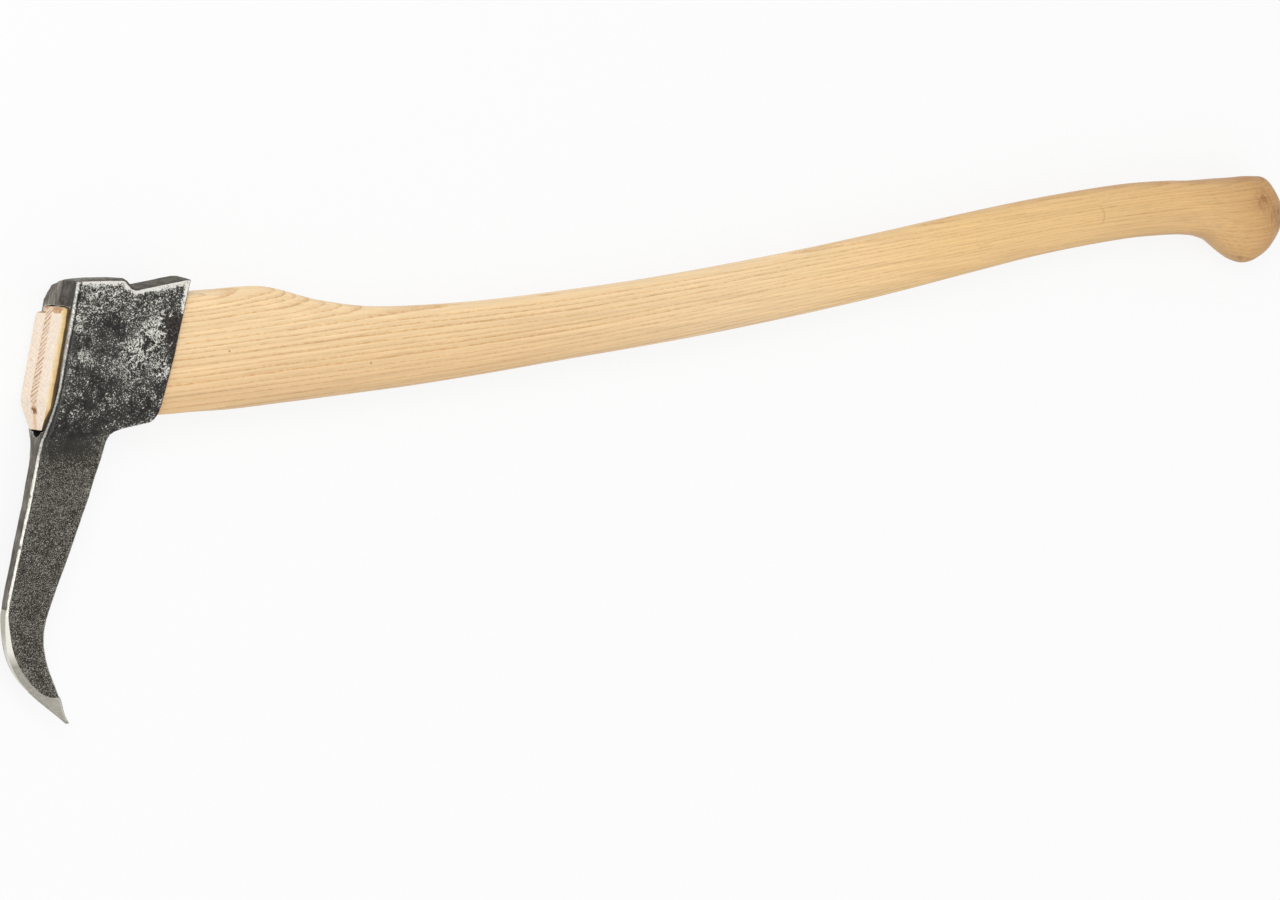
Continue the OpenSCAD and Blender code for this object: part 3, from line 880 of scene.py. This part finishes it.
burst = times(burst, fade(ragged, 0.42, 0.50))
colour(shader, mix(burst, shade, linear(140, 90, 46)))

torn, _, shader, shade = wood(
    "torn_fibres", linear(206, 160, 122), linear(142, 98, 66), 0.85, 0.9, spacing=1.3)
colour(shader, shade)
wedge_wood, _, shader, shade = wood(
    "wedge_wood", linear(247, 226, 201), linear(172, 114, 74), 0.7, 1.9, spacing=2.5,
    pith_below=-0.12, pith_aside=0.052, flare=0.0, wander=0.6)
colour(shader, shade)

# %% [markdown]
# ## The handle
#
# A handle like this is turned on a copying lathe: one section after another along the bore,
# from the flat-sided tongue in the eye to the oval grip and the swollen knob. The same idea
# works here. A circle is shaped into the first section and extruded again and again, and each
# new ring is moved to the next section. The rows repeat those of the CAD source, so the piece
# lies on the solid that it replaces.

# %% Sections of the handle
RING = 64                         # points round a section
END_TILT, END_KNEE = 0.30, -18.0  # the tongue's end leans back above this height
TONGUE_X, KNOB_X = -50.1, 946.5
TONGUE = SimpleNamespace(centre=0.35, half=16.05, up=38.15, down=37.3)
# place, centre height, half height, half thickness, roundness, share of the oval
HANDLE_ROWS = [
    (58, -1.0, 38.3, 16.4, 2.6, 0.10), (80, -2.2, 38.6, 16.5, 2.6, 0.45),
    (104, -2.9, 38.6, 16.5, 2.5, 0.85), (117, -3.7, 37.9, 16.4, 2.5, 0.97),
    (130, -5.6, 36.2, 16.3, 2.4, 1.0), (145, -8.4, 33.5, 16.1, 2.4, 1.0),
    (159, -10.7, 31.3, 15.9, 2.3, 1.0), (189, -14.2, 27.9, 15.5, 2.3, 1.0),
    (220, -16.1, 26.1, 15.1, 2.3, 1.0), (281, -17.2, 23.9, 14.4, 2.3, 1.0),
    (343, -16.5, 22.6, 14.0, 2.3, 1.0), (407, -15.4, 22.0, 13.7, 2.3, 1.0),
    (471, -12.9, 21.8, 13.5, 2.3, 1.0), (537, -9.2, 21.5, 13.4, 2.3, 1.0),
    (603, -4.4, 21.2, 13.2, 2.3, 1.0), (670, 1.5, 20.4, 13.1, 2.3, 1.0),
    (739, 6.9, 19.3, 13.0, 2.3, 1.0), (808, 9.3, 18.8, 13.2, 2.3, 1.0),
    (848, 7.8, 18.7, 14.4, 2.3, 1.0), (866, 5.8, 19.0, 15.8, 2.3, 1.0)]
# the same for the knob, with the place measured back from its end
KNOB_ROWS = [
    (-72, 4.2, 20.1, 16.9, 2.3, 1.0), (-64, 2.2, 21.8, 17.6, 2.3, 1.0),
    (-56, -1.2, 24.9, 18.8, 2.3, 1.0), (-47, -4.9, 28.1, 19.4, 2.3, 1.0),
    (-39, -6.9, 29.8, 19.75, 2.3, 1.0), (-34, -7.1, 29.9, 19.8, 2.3, 1.0),
    (-29, -6.6, 29.2, 19.6, 2.3, 1.0), (-21, -5.2, 26.9, 18.8, 2.3, 1.0),
    (-16, -3.9, 24.5, 17.3, 2.2, 1.0), (-11, -4.4, 19.1, 14.8, 2.1, 1.0),
    (-6, -5.0, 12.3, 10.6, 2.0, 1.0), (-2, -4.6, 6.4, 5.6, 2.0, 1.0),
    (0, -4.6, 2.2, 1.9, 2.0, 1.0)]
print("typed sections:", len(HANDLE_ROWS) + len(KNOB_ROWS))


# %% From rows to a smooth run of sections
def bar_radius(a, c, w, up, down):
    """Distance from the centre to the flat sides of the tongue, at angle a from the top."""
    s, q = abs(math.sin(a)), math.cos(a)
    sides = ((1, 0, w), (0, 1, up - c), (0, -1, down + c),
             (0.7071, 0.7071, 0.7071 * (w + up - 1.5 - c)),
             (0.8797, -0.4755, 0.8797 * w + 0.4755 * (22.5 + c)))
    return min(d / (f * s + g * q) for f, g, d in sides if f * s + g * q > 0.001)


def oval_radius(a, w, h, n):
    """The same for an oval of half width w and half height h; a larger n is squarer."""
    return ((abs(math.sin(a)) / w) ** n + (abs(math.cos(a)) / h) ** n) ** (-1 / n)


def refine(rows, n):
    """A cubic curve through the rows, with n steps between two of them."""
    def slope(i):
        lo, hi = max(i - 1, 0), min(i + 1, len(rows) - 1)
        return [(b - a) / (rows[hi][0] - rows[lo][0]) for a, b in zip(rows[lo], rows[hi])]
    out = []
    for i in range(len(rows) - 1):
        h, p, q = rows[i + 1][0] - rows[i][0], slope(i), slope(i + 1)
        for s in (j / n for j in range(n)):
            out.append(tuple(
                (2*s**3 - 3*s**2 + 1) * a + (s**3 - 2*s**2 + s) * h * u
                + (3*s**2 - 2*s**3) * b + (s**3 - s**2) * h * v
                for a, b, u, v in zip(rows[i], rows[i + 1], p, q)))
    return out + [rows[-1]]


def stretched(x):
    """Places behind 130 mm are stretched, so that the last row before the knob meets it."""
    return x if x < 130 else 130 + (x - 130) * (KNOB_X - 77 - 130) / (870 - 130)


rows = refine([(stretched(r[0]),) + r[1:] for r in HANDLE_ROWS]
              + [(KNOB_X + r[0],) + r[1:] for r in KNOB_ROWS], 4)
print("smoothed sections:", len(rows))


# %% Points of a section
def ring_points(x, c, tilt, radius):
    points = []
    for k in range(RING):
        a = 2 * math.pi * k / RING
        y = c + radius(a) * math.cos(a)
        points.append(Vector((x + tilt * max(y, END_KNEE), y,
                              MID + radius(a) * math.sin(a))) * MM)
    return points


def bar_points(x, c, up, down, tilt):
    return ring_points(x, c, tilt, lambda a: bar_radius(a, c, TONGUE.half, up, down))


def row_points(r):
    x, c, h, w, n, share = r
    return ring_points(x, c, 0, lambda a: (1 - share) * bar_radius(a, c, w, c + h, h - c)
                       + share * oval_radius(a, w, h, n))


stations = [bar_points(TONGUE_X, TONGUE.centre, TONGUE.up - 1.2, TONGUE.down, END_TILT)]
for x, tilt in ((TONGUE_X + 1.5, END_TILT), (-12, END_TILT / 2), (24, 0)):
    stations.append(bar_points(x, TONGUE.centre, TONGUE.up, TONGUE.down, tilt))
stations.append(bar_points(40, 0, TONGUE.up - 0.4, TONGUE.down + 0.9, 0))
stations += [row_points(r) for r in rows]
print("sections:", len(stations))

# %% One ring after another
handle = bmesh.new()
ring = bmesh.ops.create_circle(handle, segments=RING, radius=0.02)["verts"]
for v, p in zip(ring, stations[0]):
    v.co = p
end_face = bmesh.ops.contextual_create(handle, geom=ring)["faces"]
for points in stations[1:]:
    edges = [handle.edges.get((ring[k], ring[(k + 1) % RING])) for k in range(RING)]
    grown = bmesh.ops.extrude_edge_only(handle, edges=edges)["geom"]
    new = {v for v in grown if isinstance(v, bmesh.types.BMVert)}
    ring = [next(e.other_vert(v) for e in v.link_edges if e.other_vert(v) in new) for v in ring]
    for v, p in zip(ring, points):
        v.co = p
bmesh.ops.contextual_create(handle, geom=ring)
bmesh.ops.recalc_face_normals(handle, faces=handle.faces)
# the end face bends at the knee, so it is cut in two there
bmesh.ops.bisect_plane(handle, geom=end_face + list(end_face[0].verts) + list(end_face[0].edges),
                       dist=0.001 * MM, plane_co=(0, END_KNEE * MM, 0), plane_no=(0, 1, 0))
print("handle:", len(handle.verts), "points")

# %% [markdown]
# ## The kerf and the lost corner
#
# The kerf is sawn into the tongue before the head goes on, and the far half has lost its top
# corner. Both are straight cuts, which a Boolean makes most simply: a block is subtracted for
# each, the result is kept as the mesh, and the blocks are thrown away.

# %% Blocks that cut the kerf and the corner
WEDGE = SimpleNamespace(thick=8.0, tip=2.0, long=58.0, low=38.15 - 58.0, gap=0.1)
CHIP = SimpleNamespace(front=-70, rear=-34.7, low=34.2, near=15.95, far=-5)
AHEAD, ABOVE = 20, 60             # how far the blocks reach before the tongue and over the bore


def cutting_block(name, corner):
    """A cube whose corners are moved to where a rule puts them, in millimetres."""
    bm = bmesh.new()
    bmesh.ops.create_cube(bm, size=1.0)
    for v in bm.verts:
        v.co = Vector(corner(*(c > 0 for c in v.co))) * MM
    block = bpy.data.objects.new(name, bpy.data.meshes.new(name))
    bm.to_mesh(block.data)
    bm.free()
    bpy.context.scene.collection.objects.link(block)
    return block


def kerf_corner(rear, high, near):
    half = WEDGE.tip / 2 if rear else (
        WEDGE.thick / 2 + (WEDGE.thick - WEDGE.tip) / 2 * AHEAD / WEDGE.long)
    return (TONGUE_X + (WEDGE.long + WEDGE.gap if rear else -AHEAD),
            ABOVE if high else WEDGE.low - WEDGE.gap,
            MID + (half + WEDGE.gap) * (1 if near else -1))


def chip_corner(rear, high, near):
    return (CHIP.rear if rear else CHIP.front,
            ABOVE if high else CHIP.low + (0.5 if rear else -1.6),
            CHIP.near if near else CHIP.far)


blocks = [cutting_block("kerf", kerf_corner), cutting_block("chip", chip_corner)]
print("blocks:", [tuple(round(d, 4) for d in b.dimensions) for b in blocks])

# %% The cuts, and what the finish reads from the handle
HANDLE_FINISHES = [ash, cut_end, torn]
handle_piece = make_piece("ash_handle_turned", handle, HANDLE_FINISHES, "root",
                          "ash_handle")
for block in blocks:
    cut = handle_piece.modifiers.new(block.name, "BOOLEAN")
    cut.object, cut.operation, cut.solver = block, "DIFFERENCE", "EXACT"
bpy.context.view_layer.update()
solid = handle_piece.evaluated_get(bpy.context.evaluated_depsgraph_get())
mesh = bpy.data.meshes.new_from_object(solid)
handle_piece.modifiers.clear()
handle_piece.data = mesh
for block in blocks:
    bpy.data.objects.remove(block)


def use_at(point, normal):
    """End grain on the knob, and browner upper and lower edges of the grip: painted shade where
    the oval turns away, and the dirt of hands.
    """
    x, y = point.xy / MM
    knob_end = max(0.0, normal.x) ** 1.5 * 0.8 if x > 900 else 0.0
    return dict(end_grain=max(knob_end, 0.75 * blob(x, y, 919, 6, 8),
                              0.75 * blob(x, y, 931, -6, 11)),
                edge_shade_and_dirt=0.40 * step(abs(normal.y), 0.72, 1.0) * step(x, 560, 800))


store(mesh, [use_at(v.co, v.normal) for v in mesh.vertices])
for polygon in mesh.polygons:
    in_front, upward = polygon.center.x < -30 * MM, polygon.normal.y
    if in_front and upward > 0.45:
        polygon.material_index = HANDLE_FINISHES.index(torn)
    elif in_front and polygon.normal.x < -0.5 and upward < 0.45:
        polygon.material_index = HANDLE_FINISHES.index(cut_end)
    else:
        polygon.material_index = HANDLE_FINISHES.index(ash)
smooth(mesh, 32)
print("handle with its kerf:", len(mesh.vertices), "points,", len(mesh.materials), "finishes")

# %% [markdown]
# ## The wedge
#
# The wedge is a thin taper of hard wood, driven into the sawn kerf until the tongue fills the
# eye, and then trimmed flush. It is the CAD solid with its arrises broken, because a sawn wedge
# is never sharp where it was struck.

# %% The wedge, with its edges broken
wedge = merged_copy("wooden_wedge")
bmesh.ops.bevel(wedge, geom=wedge.edges[:], affect="EDGES", offset=0.35 * MM, segments=2,
                profile=0.5, material=-1)
wedge_piece = make_piece("driven_wedge", wedge, [wedge_wood], "root", "wooden_wedge")
smooth(wedge_piece.data, 40)

# %% [markdown]
# ## Sizes
#
# Finishing must not make the tool larger.

# %% Bring the scene up to date
bpy.context.view_layer.update()
